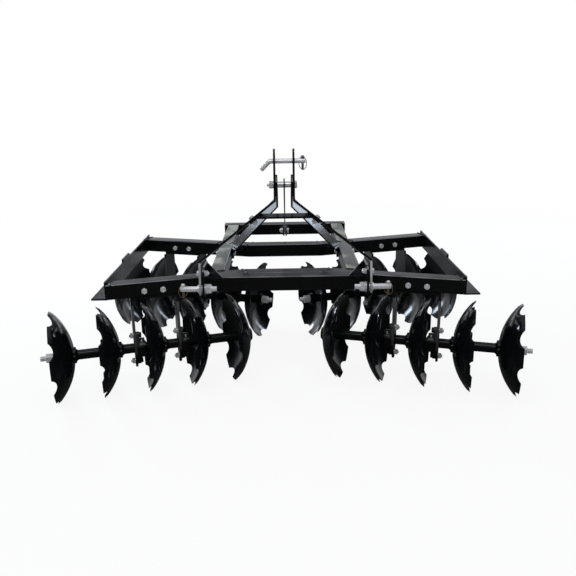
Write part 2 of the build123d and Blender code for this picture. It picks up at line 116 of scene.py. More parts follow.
class Finish:
    """A surface's material while it is mixed. Its method node adds one node, given its kind, its settings
    and the values or levels of its inputs, and gives back one of its outputs."""

    def __init__(self, holder):
        holder.use_nodes = True
        self.holder, self.tree = holder, holder.node_tree
        self.tree.nodes.clear()

    def node(self, kind, settings=(), inputs=(), out=0):
        made = self.tree.nodes.new("ShaderNode" + kind)
        for key, value in dict(settings).items():
            setattr(made, key, value)
        for key, value in dict(inputs).items():
            if isinstance(value, Level):
                self.tree.links.new(value.socket, made.inputs[key])
            else:
                made.inputs[key].default_value = value
        return Level(self, made.outputs[out]) if made.outputs else None

    def mix(self, share, first, second):
        """a colour that goes from the first to the second as share goes from 0 to 1"""
        return self.node("Mix", {"data_type": "RGBA"}, {0: share, 6: first, 7: second}, 2)

    def split(self, vector, axis):
        """one of a vector's three numbers"""
        return self.node("SeparateXYZ", {}, {"Vector": vector}, axis)

    def rays(self):
        """whether a ray comes straight from the eye, is mirrored, or came through glass"""
        kinds = "Is Camera Ray", "Is Glossy Ray", "Is Transmission Ray"
        return [self.node("LightPath", out=kind) for kind in kinds]

    def noise(self, scale, detail):
        """cloudy noise over the piece's own place, scale being blobs to the metre"""
        place = self.node("TexCoord", out="Object")
        return self.node("TexNoise", {}, {"Vector": place, "Scale": scale, "Detail": detail})


white, matt_white = (1, 1, 1, 1), (0.92, 0.92, 0.92, 1)
room = Finish(bpy.data.worlds.new("room"))
plain, mirrored_ray, through = room.rays()
outlook = room.node("TexCoord", out="Generated")
sideways, backwards, upwards = [room.split(outlook, axis) for axis in "XYZ"]
wall_side, wall_top, darker_middle = (0.30, 0.60), (0.235, 0.275), (0.0004, 0.012)
front_dark, back_grey, high_wall = (0.010, 0.010, 0.012, 1), (0.15, 0.16, 0.18, 1), (0.78, 0.80, 0.84, 1)
ceiling, fill_light = (0.42, 0.44, 0.48, 1), (0.60, 0.61, 0.63, 1)
wall_share = backwards.step(*wall_side) * (1 - upwards.step(*wall_top))
wall_share = wall_share * ((sideways * sideways).step(*darker_middle) * 0.7 + 0.3)
lit_wall = room.mix(upwards.step(-0.02, 0.20), white, high_wall)
dim_room = room.mix(backwards.step(0.0, 0.6), front_dark, back_grey)
dim_room = room.mix(upwards.step(0.34, 0.60), dim_room, ceiling)
soft_light = room.mix(mirrored_ray, fill_light, room.mix(wall_share, dim_room, lit_wall))
seen_room = room.mix(plain + through, soft_light, white)
wall_light = room.node("Background", {}, {"Color": seen_room, "Strength": 1.0})
room.node("OutputWorld", {}, {"Surface": wall_light})
bpy.context.scene.world = room.holder
bpy.context.scene.view_settings.view_transform = "Standard"

floor_finish = Finish(bpy.data.materials.new("pale_floor"))
plain, mirrored_ray, through = floor_finish.rays()
spot = floor_finish.node("TexCoord", out="Object")
distance = floor_finish.node("VectorMath", {"operation": "LENGTH"}, {0: spot}, "Value")
away = distance.step(2.2, 5.0)
near_share, left_share, far_share = 0.16, 0.60, 0.84
left_side = 1 - floor_finish.split(spot, "X").step(-1.5, 0.2)
left_patch = left_side * (1 - distance.step(3.0, 8.0)) * left_share
behind = floor_finish.split(spot, "Y").step(-0.3, 1.2)
bright = behind * (near_share + left_patch + distance.step(5.0, 30.0) * far_share)
matt = floor_finish.node("BsdfDiffuse", {}, {"Color": matt_white})
plain_white = floor_finish.node("Emission", {}, {"Color": white, "Strength": 1.0})
shade = floor_finish.node("Emission", {}, {"Color": white, "Strength": 0.03})
glare = floor_finish.node("Emission", {}, {"Color": (0.90, 0.95, 1.0, 1), "Strength": 1.0})
mirror_floor = floor_finish.node("MixShader", {}, {0: bright, 1: shade, 2: glare})
whiteness = (plain + through) * (0.90 + 0.10 * away)
seen_floor = floor_finish.node("MixShader", {}, {0: whiteness, 1: matt, 2: plain_white})
floor_surface = floor_finish.node("MixShader", {}, {0: mirrored_ray, 1: seen_floor, 2: mirror_floor})
floor_finish.node("OutputMaterial", {}, {"Surface": floor_surface})
floor_half = 40.0
floor_mesh = bpy.data.meshes.new("floor")
floor_mesh.from_pydata([(-floor_half, -floor_half, 0), (floor_half, -floor_half, 0),
                        (floor_half, floor_half, 0), (-floor_half, floor_half, 0)], [], [(0, 1, 2, 3)])
floor_mesh.materials.append(floor_finish.holder)
floor = bpy.data.objects.new("floor", floor_mesh)
bpy.context.scene.collection.objects.link(floor)


# The lamps: soft boxes.
# A wide one hangs high in front of the harrow. To each side behind it stands a tall one, the left one wider
# and much brighter, with a small faint one under it.
def soft_box(name, place, target, wide, tall, watts, tint):
    """an oblong lamp at a place, facing its target and level across, which the eye doesn't see"""
    lamp = bpy.data.lights.new(name, "AREA")
    lamp.shape, lamp.size, lamp.size_y = "RECTANGLE", wide, tall
    lamp.energy, lamp.color = watts, tint
    box = bpy.data.objects.new(name, lamp)
    away = np.array(place, float) - np.array(target, float)
    away /= np.linalg.norm(away)
    across = np.cross((0.0, 0.0, 1.0), away)
    across /= np.linalg.norm(across)
    box.matrix_world = stance(np.stack([across, np.cross(away, across), away], axis=1), place)
    box.visible_camera = False
    bpy.context.scene.collection.objects.link(box)


warm, cool, cooler = (1.0, 0.99, 0.97), (0.75, 0.86, 1.0), (0.72, 0.84, 1.0)
soft_box("high_front", (-0.3, -2.0, 3.0), (0, -0.2, 0.4), 2.2, 1.2, 18, warm)
for side, wide, watts, low_watts in ((-1, 0.70, 76, 2.2), (1, 0.45, 20, 4.0)):
    soft_box(f"behind_{side}", (side * 2.7, 2.6, 1.9), (0, 0, 0.5), wide, 1.7, watts, cool)
    soft_box(f"low_behind_{side}", (side * 2.8, 2.8, 0.80), (0, 0, 0.7), 0.6, 0.66, low_watts, cooler)


# The main rectangle: square steel tube, joined by beads of weld and sprayed gloss black.
# Two rails run back from the front gang beam to the rear crossbar, and the front crossbar closes the front.
# Dust and a painted sheen lie grey on the rails' tops, and a painted grey highlight lies along the tubes'
# upper front edges.
dust_and_sheen_grey = (0.33, 0.335, 0.29, 1)


def gloss_paint(name, deep, peel, rough, dust_and_sheen_share=0.0, mirror=0.42, ripples=260.0, front_highlight=None, edge_highlight=None):
    """black enamel: a faint orange peel in the coat, a slightly uneven gloss and grey on top faces that is a
    trace of dust, and a painted sheen too where it is strong.
    Where asked, faces that point forwards get a painted grey highlight, faint at one height and full up to
    another, and a painted grey highlight lies along the rounded edge between top and front."""
    paint = Finish(bpy.data.materials.new(name))
    cloud = paint.noise(9.0, 4.0)
    speckle = paint.noise(420.0, 2.0)
    facing = paint.node("NewGeometry", out="Normal")
    # Up-facing faces turn grey in clouds: a trace of dust, and a painted sheen where the share is large.
    dust_and_sheen = paint.split(facing, "Z").step(0.55, 1.0) * cloud.step(0.35, 0.75) * dust_and_sheen_share
    colour = paint.mix(dust_and_sheen, deep, dust_and_sheen_grey)
    # Painted highlight: grey on forward faces, faint from one height and full up to another, in place of
    # light caught there.
    if front_highlight:
        grey, faint, full = front_highlight
        forwards = (paint.split(facing, "Y") * -1).step(0.86, 0.96)
        height = paint.split(paint.node("TexCoord", out="Object"), "Z")
        stretch = height.step(faint, full - 0.02) * (1 - height.step(full, full + 0.006))
        painted_highlight = forwards * stretch * (cloud.step(0.2, 0.6) * 0.5 + 0.5)
        colour = paint.mix(painted_highlight, colour, (grey, 0.98 * grey, 0.96 * grey, 1))
    # Painted highlight: a grey along the rounded edge between top and front faces, where light would catch
    # it.
    if edge_highlight:
        edge = (paint.split(facing, "Y") * -1).step(0.25, 0.5) * paint.split(facing, "Z").step(0.35, 0.6)
        painted_highlight = edge * (cloud.step(0.3, 0.6) * 0.6 + 0.4)
        colour = paint.mix(painted_highlight, colour, (edge_highlight, edge_highlight, 1.04 * edge_highlight, 1))
    gloss = rough + cloud.step(0.3, 0.7) * 0.05 + speckle.step(0.45, 0.75) * 0.04 + dust_and_sheen * 0.6
    skin_height = paint.noise(ripples, 1.0)
    bumped = paint.node("Bump", {}, {"Strength": peel, "Distance": 0.0004, "Height": skin_height})
    coat = paint.node("BsdfPrincipled", {}, {"Base Color": colour, "Roughness": gloss, "Normal": bumped,
                                             "Specular IOR Level": mirror})
    paint.node("OutputMaterial", {}, {"Surface": coat})
    return paint.holder


def dress(finish, slot, *names):
    """give bare pieces their finish as they are"""
    for name in names:
        cad = nodes[name]
        cad.data.materials.clear()
        cad.data.materials.append(finish)


def both(*names):
    """each name for the left and the right"""
    return [name + side for name in names for side in ("_left", "_right")]


enamel = (0.0042, 0.0044, 0.0047, 1)
# The frame tubes get a painted grey highlight along the rounded edge between top and front.
frame_paint = gloss_paint("frame_paint", enamel, 0.05, 0.15, 0.08, edge_highlight=0.22)
# A large share makes the rails' tops grey: dust, and a painted sheen.
dust_and_sheen_paint = gloss_paint("dust_and_sheen_paint", enamel, 0.05, 0.18, 1.45, mirror=0.9)
dress(frame_paint, "frame_paint", "front_crossbar", "rear_crossbar")
dress(dust_and_sheen_paint, "frame_paint", *both("main_rail"))

tube = frame_top - frame_bottom
frame_middle = frame_top - tube / 2
half = tube / 2
rail_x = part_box("main_rail_right")[1].x - half
rear_bar_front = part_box("rear_crossbar")[0].y
beam_back = front_face + 2 * tube


def lattice(rows, columns, looped):
    """Quads between rings, the last ring joined to the first if looped. A corner's number is
    row * columns + column, and after the last column comes the first again."""
    i, j = np.indices((rows - (not looped), columns)).reshape(2, -1)
    k, m = (i + 1) % rows, (j + 1) % columns
    return np.stack([i * columns + j, k * columns + j, k * columns + m, i * columns + m], axis=1)


def piece(name, shells, finish, body, stands_for=()):
    """One object from shells: arrays (..., rows, columns, 3) whose columns close into rings. A shell whose
    first and last rows differ gets a lid on each. One whose first row comes again closes into a ring."""
    crease, same_point = math.radians(34.0), 2e-6
    points, faces, start = [], [], 0
    for shell in shells:
        shell = np.asarray(shell, float)
        rows, columns = shell.shape[-3:-1]
        copies = shell.reshape(-1, rows, columns, 3)
        looped = np.allclose(copies[0, 0], copies[0, -1], atol=1e-7)
        if looped:
            copies = copies[:, :-1]
            rows -= 1
        quads = lattice(rows, columns, looped)
        ring = np.arange(columns)
        lids = [] if looped else [ring, ring + (rows - 1) * columns]
        for number in range(len(copies)):
            offset = start + number * rows * columns
            faces += (quads + offset).tolist() + [(lid + offset).tolist() for lid in lids]
        start += len(copies) * rows * columns
        points.append(copies.reshape(-1, 3))
    mesh = bpy.data.meshes.new(name)
    mesh.from_pydata(np.concatenate(points), [], faces)
    build = bmesh.new()
    build.from_mesh(mesh)
    bmesh.ops.remove_doubles(build, verts=build.verts, dist=same_point)
    bmesh.ops.recalc_face_normals(build, faces=build.faces)
    build.to_mesh(mesh)
    build.free()
    mesh.shade_smooth()
    mesh.set_sharp_from_angle(angle=crease)
    mesh.materials.append(finish)
    made = bpy.data.objects.new(name, mesh)
    bpy.context.scene.collection.objects.link(made)
    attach(made, body)
    if stands_for:
        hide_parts(*stands_for)


def mirrored(points):
    """points and their mirror image across the harrow's middle plane"""
    points = np.asarray(points, float)
    return np.stack([points, points * (-1.0, 1.0, 1.0)])


def pipe(path, radius, sides=12, closed=False):
    """A round bar along a path: rings of radius r about its points, square to it,
    p + r (cos t side + sin t over)."""
    path = np.asarray(path, float)
    radius = np.broadcast_to(np.asarray(radius, float), len(path))
    heading = np.gradient(path, axis=0)
    if closed:
        heading = np.roll(path, -1, axis=0) - np.roll(path, 1, axis=0)
    heading /= np.linalg.norm(heading, axis=1, keepdims=True)
    side = np.cross(heading, np.where(np.abs(heading[:, 2:]) < 0.8, (0.0, 0.0, 1.0), (1.0, 0.0, 0.0)))
    side /= np.linalg.norm(side, axis=1, keepdims=True)
    over = np.cross(side, heading)
    turn = np.linspace(0, 2 * math.pi, sides, endpoint=False)
    ring = np.cos(turn)[None, :, None] * side[:, None] + np.sin(turn)[None, :, None] * over[:, None]
    rows = path[:, None] + radius[:, None, None] * ring
    return np.concatenate([rows, rows[:1]]) if closed else rows


def bead(path, radius=0.0032, row_gap=0.0016):
    """A run of weld: a pipe along straight legs with a ring in every gap of length, its radius swelling
    once in 3.2 gaps, r (1 + 0.16 |sin(pi s / (3.2 gap))|), and tapering to nothing at both ends."""
    path = np.asarray(path, float)
    lengths = np.r_[0.0, np.cumsum(np.linalg.norm(np.diff(path, axis=0), axis=1))]
    along = np.linspace(0.0, lengths[-1], max(8, int(lengths[-1] / row_gap)))
    centre = np.stack([np.interp(along, lengths, path[:, axis]) for axis in range(3)], axis=1)
    swell = radius * (1 + 0.16 * np.abs(np.sin(math.pi * along / (3.2 * row_gap))))
    swell = swell * np.minimum(1.0, np.minimum(along, lengths[-1] - along) / 0.004 + 0.05)
    return pipe(centre, swell, 8)


weld_paint = gloss_paint("weld_paint", (0.005, 0.0052, 0.0056, 1), 0.25, 0.22)
rail_ring = [(rail_x - half, 0, frame_bottom), (rail_x - half, 0, frame_top),
             (rail_x + half, 0, frame_top), (rail_x + half, 0, frame_bottom)]
bend_x, gang_sweep, stand_off = 0.176, math.radians(16.0), 0.001
front_joint = [(x, beam_back - max(x - bend_x, 0.0) * math.tan(gang_sweep) + stand_off, z)
               for x, _, z in rail_ring]
rear_joint = np.array(rail_ring) + (0, rear_bar_front, 0)
piece("rail_welds", [mirrored(bead(rear_joint)), mirrored(bead(front_joint))], weld_paint,
      "frame")


# Gang beams: more of the same tube, bent forward at the front and back at the rear.
# The wings are mitred to the middle and welded, and an angle iron with a splice plate ties their ends.
dress(frame_paint, "frame_paint", "front_beam_middle", "rear_beam_middle",
      *both("front_beam", "rear_beam", "side_angle", "side_splice"))
side_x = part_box("side_angle_right")[0].x
beam_middle = {"front": front_face + 1.5 * tube, "rear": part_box("rear_beam_middle")[0].y + half}
sweep = {"front": -gang_sweep, "rear": gang_sweep}


def wing_point(end, run, back, z):
    """a point at a run outwards from a right-hand wing's bend, behind its middle line, at a height"""
    turn = sweep[end]
    return np.array([bend_x + run * math.cos(turn) - back * math.sin(turn),
                     beam_middle[end] + run * math.sin(turn) + back * math.cos(turn), z])


def across_tube(end, run_front, run_back):
    """a line round a wing where another piece crosses it: up the front face, over the top, down the back"""
    corners = [(run_front, -half, frame_bottom), (run_front, -half, frame_top),
               (run_back, half, frame_top), (run_back, half, frame_bottom)]
    return [wing_point(end, *corner) for corner in corners]


mitre = half * math.tan(gang_sweep / 2)
tip_run = (side_x - bend_x) / math.cos(gang_sweep)
slant = half * math.tan(gang_sweep)
mitre_weld = 0.0022
beam_welds = [mirrored(bead(across_tube("front", -mitre, mitre), mitre_weld)),
              mirrored(bead(across_tube("rear", mitre, -mitre), mitre_weld)),
              mirrored(bead(across_tube("front", tip_run - slant, tip_run + slant))),
              mirrored(bead(across_tube("rear", tip_run + slant, tip_run - slant)[:3]))]
for x in (rail_x - half, rail_x + half):
    run = (x - bend_x) / math.cos(gang_sweep)
    beam_welds.append(mirrored(bead(across_tube("rear", run + slant, run - slant))))
splice_low, splice_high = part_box("side_splice_right")
splice_top = frame_bottom + 0.076
splice_side = ((splice_low.y, splice_low.z), (splice_low.y, splice_top),
               (splice_high.y, splice_top), (splice_high.y, splice_low.z))
splice_ring = [(splice_low.x, y, z) for y, z in splice_side]
beam_welds.append(mirrored(bead(splice_ring)))
piece("beam_welds", beam_welds, weld_paint, "frame")


# Hangers: a plate bracket bolted behind each beam, with two blades down to the bearings.
# Cast flange bearings are bolted to the blades, each with a grease nipple. Hangers and bearings are painted
# black, and a painted grey highlight lies on the blades' fronts above the bearings.
def zinc_plate(name, colour, rough, stain, bright=0.80):
    """plated steel: fine grain, cloudy passivation and a few darker stains"""
    plating = Finish(bpy.data.materials.new(name))
    cloud, grain = plating.noise(60.0, 4.0), plating.noise(900.0, 2.0)
    dull = cloud.step(0.4, 0.8)
    shade = plating.mix(dull * stain, colour, tuple(0.45 * c for c in colour[:3]) + (1,))
    gloss = rough + dull * 0.14 + grain.step(0.4, 0.8) * 0.08
    bumped = plating.node("Bump", {}, {"Strength": 0.12, "Distance": 0.0002, "Height": grain})
    metal = plating.node("BsdfPrincipled", {}, {"Base Color": shade, "Metallic": bright, "Roughness": gloss,
                                                "Normal": bumped})
    plating.node("OutputMaterial", {}, {"Surface": metal})
    return plating.holder


zinc = zinc_plate("zinc", (0.86, 0.86, 0.87, 1), 0.24, 0.35, 0.55)


def turned(profile, sides=40):
    """A turned shape along X: each row (x, radius) of its profile swept round as (x, r cos a, r sin a)."""
    x, radius = np.asarray(profile, float).T
    turn = np.linspace(0, 2 * math.pi, sides, endpoint=False)
    return np.stack([np.repeat(x[:, None], sides, 1), radius[:, None] * np.cos(turn),
                     radius[:, None] * np.sin(turn)], axis=2)


def hexagon(flats, height, both_ends=False):
    """A hexagon along X: radius flats / 2 / cos(angle from the middle of a flat), cut back by a cone at its
    outer end. A bolt's head is dished inside its rim, and a nut is cut back at its inner end too."""
    sides, cone_tip, cone_slope = 48, 0.475 * flats, 1.9
    turn = np.linspace(0, 2 * math.pi, sides, endpoint=False)
    around = flats / 2 / np.cos((turn + math.pi / 6) % (math.pi / 3) - math.pi / 6)
    share = np.array([0.0, 0.06, 0.12, 0.3, 0.7, 0.88, 0.94, 1.0])
    cone = cone_tip + (1 - share)[:, None] * height * cone_slope
    if both_ends:
        cone = np.minimum(cone, cone_tip + share[:, None] * height * cone_slope)
    radius, far = np.minimum(around, cone), share * height
    if not both_ends:
        dish = np.array([0.90, 0.78, 0.62, 0.30, 0.03])
        radius = np.concatenate([radius, dish[:, None] * radius[-1]])
        far = np.r_[far, height * np.array([1.05, 1.05, 0.93, 0.90, 0.90])]
    along = np.repeat(far[:, None], sides, 1)
    return np.stack([along, radius * np.cos(turn), radius * np.sin(turn)], axis=2)


def thread(radius, start, end, pitch=0.0020):
    """A screw thread along X: radius less a zigzag of (x / pitch - angle / turn), faded out at the end."""
    sides, cut, last_cut = 24, 0.62 * pitch, 0.4 * pitch
    x = np.arange(start, end, pitch / 5)
    turn = np.linspace(0, 2 * math.pi, sides, endpoint=False)
    phase = (x[:, None] / pitch - turn / (2 * math.pi)) % 1.0
    depth = cut * np.minimum(1.0, (end - x) / pitch)[:, None]
    last_turn = np.clip((x - end) / pitch + 1.0, 0, 1)[:, None]
    rim = radius - depth * np.abs(2 * phase - 1) - last_turn * last_cut
    return np.stack([np.repeat(x[:, None], sides, 1), rim * np.cos(turn), rim * np.sin(turn)], axis=2)


def seat(points, places, heading):
    """copies of a shape that points along X, set at places and turned so that X follows the heading"""
    heading = np.asarray(heading, float) / np.linalg.norm(heading)
    side = np.cross((0.0, 0.0, 1.0), heading)
    side /= np.linalg.norm(side)
    basis = np.stack([heading, side, np.cross(heading, side)])
    places = np.atleast_2d(np.asarray(places, float))
    return places[:, None, None, :] + (points @ basis)[None]


def bolt(places, heading, reach, size=0.012, washer=True):
    """Bolts through a plate: head and washer outside the first face, nut, washer and thread past the reach.
    Places are where the heads sit, and the heading points out of the head."""
    flats, washer_wall = 1.55 * size, 0.0016
    plate_out = washer_wall if washer else 0.0
    hole, rim = size * 0.5, size * 0.98
    ring = turned([(0, hole), (0, rim), (washer_wall, rim), (washer_wall, hole)], 32)
    head = hexagon(flats, size * 0.62) + (plate_out, 0, 0)
    nut = hexagon(flats, size * 0.82, True) * (-1, 1, 1) - (reach + plate_out, 0, 0)
    end = thread(size / 2, 0, size * 1.2) * (-1, 1, 1) - (reach + plate_out, 0, 0)
    shells = [seat(head, places, heading), seat(nut, places, heading), seat(end, places, heading)]
    if washer:
        shells += [seat(ring, places, heading), seat(ring * (-1, 1, 1) - (reach, 0, 0), places, heading)]
    return shells


def mirrored_all(shells):
    """each shell's copies, and their mirror images after them"""
    return [np.concatenate([shell, shell * (-1.0, 1.0, 1.0)]) for shell in shells]


# The blades' forward faces get a painted grey highlight that grows upwards and ends 3 cm under the beam.
hanger_paint = gloss_paint("hanger_paint", enamel, 0.05, 0.15, 0.10,
                          front_highlight=(0.07, 0.02, frame_bottom - 0.030))
dress(hanger_paint, "frame_paint", *both("front_gang_hanger", "rear_gang_hanger"))
iron_paint = gloss_paint("iron_paint", (0.0046, 0.0048, 0.0051, 1), 0.4, 0.18)
dress(iron_paint, "cast_black", *both("front_gang_bearings", "rear_gang_bearings"))
gang_turns = {joint["child"]: joint for joint in frame["joints"]}
opening = {"front": 1.0, "rear": -1.0}
blade_half, bolt_reach, disc_pitch, blade_to_disc = 0.005, 0.057, 0.18415, 0.064
carried_gaps = (1, 2)
blade_places = [-disc_pitch * place - blade_to_disc for place in carried_gaps]
first_disc = {"front": 0.730, "rear": 0.022}
gang_bolt, bracket_wall, bearing_flange = 0.0140, 0.008, 0.012
beam_bolt_drop, beam_bolt_half = 0.006, 0.038


def on_gang(end, points):
    """points laid out along a right-hand gang's own line, its first disc's back at 0, put in their place"""
    turn = gang_turns[end + "_right_gang"]
    line = opening[end] * np.array(turn["axis"])
    basis = np.stack([line, np.cross((0.0, 0.0, 1.0), line), (0.0, 0.0, 1.0)])
    return np.asarray(points, float) @ basis + np.array(turn["pos_m"])


beam_bolts, bearing_bolts, bearing_heads, nipples = [], [], [], []
nipple = turned([(0, 0.0042), (0.003, 0.0042), (0.004, 0.0030), (0.007, 0.0026), (0.0095, 0.0033),
                 (0.0115, 0.0030), (0.0125, 0.0012)], 16)
nipple_place, nipple_heading = (-blade_half - 0.022, -0.022, 0.0335), (0.0, -0.55, 0.83)
for end in ("front", "rear"):
    line = opening[end] * np.array(gang_turns[end + "_right_gang"]["axis"])
    run = first_disc[end] + opening[end] * sum(blade_places) / 2
    heads = [wing_point(end, run + side * beam_bolt_half, -half, frame_middle - beam_bolt_drop)
             for side in (-1, 1)]
    out_front = wing_point(end, 0, 0, 0) - wing_point(end, 0, 1, 0)
    beam_bolts += mirrored_all(bolt(heads, out_front, tube + bracket_wall, gang_bolt, False))
    for place in blade_places:
        seats = on_gang(end, [(place - blade_half - bearing_flange, 0, up * bolt_reach) for up in (-1, 1)])
        bolt_parts = bolt(seats, -line, 2 * blade_half + bearing_flange, gang_bolt)
        head, nut, tip, head_ring, nut_ring = mirrored_all(bolt_parts)
        bearing_bolts += [nut, tip, nut_ring]
        bearing_heads += [head, head_ring]
        top = on_gang(end, [np.add((place, 0, 0), nipple_place)])
        nipples += mirrored_all([seat(nipple, top, nipple_heading)])
piece("beam_bolts", beam_bolts, zinc, "frame")
piece("bearing_bolts", bearing_bolts, zinc, "frame")
piece("bearing_bolt_heads", bearing_heads, iron_paint, "frame")
piece("grease_nipples", nipples, zinc, "frame")


# Discs: notched dishes of spring steel, pressed from 4 mm plate and sharpened all round the edge.
# Eight scallops are cut in each rim. They are painted black with the rest.
disc_paint = gloss_paint("disc_paint", (0.0036, 0.0040, 0.0048, 1), 0.06, 0.09, 0.05)
disc_radius, disc_depth, disc_flat, disc_wall, bore = 0.1905, 0.075, 0.045, 0.004, 0.016
scallops, scallop_radius, scallop_depth, edge_bevel, edge_wall = 8, 0.054, 0.017, 0.010, 0.0014
sphere_centre = (disc_depth ** 2 + disc_radius ** 2 - disc_flat ** 2) / (2 * disc_depth)
outer_sphere = math.hypot(sphere_centre, disc_flat)
disc_turns = {"front_left": (17, 5, -13, -19, 9), "front_right": (10, 7, -15, -21, 18),
              "rear_left": (-3, -9, 0, -9, 12), "rear_right": (-15, -3, -21, -12, 21)}


def notched_disc(turn_degrees):
    """A dish along X, x = c - sqrt(R^2 - r^2) with a flat middle, given by distance from the axle and travel
    along the rim's outline: a scallop, cut by a circle about a point near the rim, then a stretch of rim.
    Its rings are circles round the middle, and bend to the outline further out."""
    reach = disc_radius - scallop_depth + scallop_radius
    swing = math.acos((reach ** 2 + scallop_radius ** 2 - disc_radius ** 2) / (2 * reach * scallop_radius))
    bow = np.linspace(-swing, swing, 15)
    scallop = np.stack([reach - scallop_radius * np.cos(bow), scallop_radius * np.sin(bow)])
    half_gap = math.atan2(scallop[1, -1], scallop[0, -1])
    tooth = np.linspace(half_gap, 2 * math.pi / scallops - half_gap, 7)[1:-1]
    rim = np.r_[np.hypot(*scallop), np.full(len(tooth), disc_radius)]
    angle = np.r_[np.arctan2(scallop[1], scallop[0]), tooth]
    rim = np.tile(rim, scallops)
    step = 2 * math.pi / scallops
    angle = (angle + np.arange(scallops)[:, None] * step).ravel() + math.radians(turn_degrees)
    middle = 0.130
    inner = np.linspace(bore, middle, 9)[:, None] * np.ones_like(rim)
    outer = middle + np.linspace(0, 1, 7)[1:, None] * (rim - edge_bevel - middle)
    edge = rim - edge_bevel * np.array([0.66, 0.33, 0.0])[:, None]
    radius = np.concatenate([inner, outer, edge])
    hollow = np.maximum(sphere_centre - np.sqrt((outer_sphere - disc_wall) ** 2 - radius ** 2), disc_wall)
    back = np.maximum(sphere_centre - np.sqrt(outer_sphere ** 2 - radius ** 2), 0.0)
    ground = np.clip(1 - (rim - radius) / edge_bevel, 0, 1)
    back = back + ground * (hollow - edge_wall - back)
    radius = np.concatenate([radius, radius[::-1], radius[:1]])
    x = np.concatenate([hollow, back[::-1], hollow[:1]])
    return np.stack([x, radius * np.sin(angle), -radius * np.cos(angle)], axis=2)


hand = {"left": (-1, 1, 1), "right": (1, 1, 1)}
for end in ("front", "rear"):
    for side, flip in hand.items():
        discs = on_gang(end, np.stack([notched_disc(turn) - (disc_pitch * place, 0, 0)
                                       for place, turn in enumerate(disc_turns[f"{end}_{side}"])]))
        piece(f"{end}_{side}_discs", [discs * flip], disc_paint, f"{end}_{side}_gang",
              [f"{end}_gang_discs_{side}"])


# Spools: cast iron tubes that hold the discs apart on the square axle, black like the rest.
# Each end spreads into a lobed flange against its disc, and two of them carry the bearings' journals.
neck, flange, journal_radius, shoulder = 0.0215, 0.036, 0.024, 0.028


def lobed(body):
    """The flanges' radius dips eight times a turn by 1 - 0.11 sin^2(4 a), and the neck's by
    1 - 0.05 sin^2(4 a)."""
    far = np.hypot(body[..., 1], body[..., 2])
    turn = np.arctan2(body[..., 2], body[..., 1])
    on_neck = (far > neck - 0.001) & (far < neck + 0.001)
    dip = np.where(far > flange - 0.003, 0.11, np.where(on_neck, 0.05, 0.0))
    swell = 1 - dip * np.sin(4 * turn) ** 2
    return body * np.stack([np.ones_like(swell), swell, swell], axis=2)


def cast_spool(start, end, journal=None):
    """a casting along X, from its profile: flange, neck, a journal between two shoulders, neck, flange"""
    foot = 0.009
    near = [(start, bore), (start, flange), (start + foot * 0.8, flange), (start + foot, 0.0345),
            (start + foot + 0.001, 0.027), (start + foot + 0.005, 0.0225), (start + foot + 0.010, neck)]
    middle = []
    if journal:
        left, right = journal
        middle = [(left - 0.006, neck), (left - 0.004, 0.0270), (left - 0.003, shoulder), (left, shoulder),
                  (left, journal_radius), (right, journal_radius), (right, shoulder),
                  (right + 0.003, shoulder), (right + 0.004, 0.0270), (right + 0.006, neck)]
    far = [(start + end - x, radius) for x, radius in near[::-1]]
    return lobed(turned(near + middle + far + near[:1], 64))


spools, gaps, journal_long, journal_over, spool_end = [], 4, 0.035, 0.0005, 0.070
for place in range(gaps):
    start, end = -disc_pitch * (place + 1) + disc_wall, -disc_pitch * place
    journal_end = end - blade_to_disc - blade_half + journal_over
    journal = (journal_end - journal_long, journal_end) if place in carried_gaps else None
    spools.append(cast_spool(start, end, journal))
spools.append(lobed(turned([(disc_wall, bore), (disc_wall, flange), (0.012, flange), (0.0135, 0.034),
                            (0.0145, 0.026), (0.020, neck), (0.055, neck), (0.060, 0.025), (0.062, 0.029),
                            (0.069, 0.029), (spool_end, 0.028), (spool_end, bore), (disc_wall, bore)], 64)))
last = -gaps * disc_pitch
collar_end = last - 0.006
spools.append(lobed(turned([(last, bore), (last, flange), (last - 0.005, flange), (collar_end, 0.035),
                            (collar_end, bore), (last, bore)], 64)))
for end in ("front", "rear"):
    shells = [on_gang(end, shell) for shell in spools]
    for side, flip in hand.items():
        piece(f"{end}_{side}_spools", [shell * flip for shell in shells], iron_paint,
              f"{end}_{side}_gang", [f"{end}_gang_spools_{side}"])


# Axles: square bars through the spools, each pulled up by one big nut on its threaded end.
# Nut and thread are zinc plated. The washer plate under the nut and the round head at the far end are black.
nut_seat, tip_start = 0.078, 0.107
plate_radius, bar_hole = 0.026, 0.012
washer_plate = turned([(spool_end, bar_hole), (spool_end, 0.0255), (spool_end + 0.0005, plate_radius),
                       (nut_seat - 0.0005, plate_radius), (nut_seat, 0.0255), (nut_seat, bar_hole),
                       (spool_end, bar_hole)], 48)
axle_nut = hexagon(0.0345, 0.031, True) + (nut_seat, 0, 0)
axle_tip = thread(0.0108, 0, 0.024, 0.0025) + (tip_start, 0, 0)
axle_head = turned([(collar_end, 0.0005), (collar_end, plate_radius), (collar_end - 0.006, plate_radius),
                    (collar_end - 0.008, 0.024), (collar_end - 0.008, 0.0005)], 48)
for end in ("front", "rear"):
    for side, flip in hand.items():
        body = f"{end}_{side}_gang"
        plated = [on_gang(end, shell) * flip for shell in (axle_nut, axle_tip)]
        painted = [on_gang(end, shell) * flip for shell in (washer_plate, axle_head)]
        piece(f"{end}_{side}_axle_nut", plated, zinc, body)
        piece(f"{end}_{side}_axle_ends", painted, iron_paint, body,
              [f"{end}_gang_axle_{side}"])


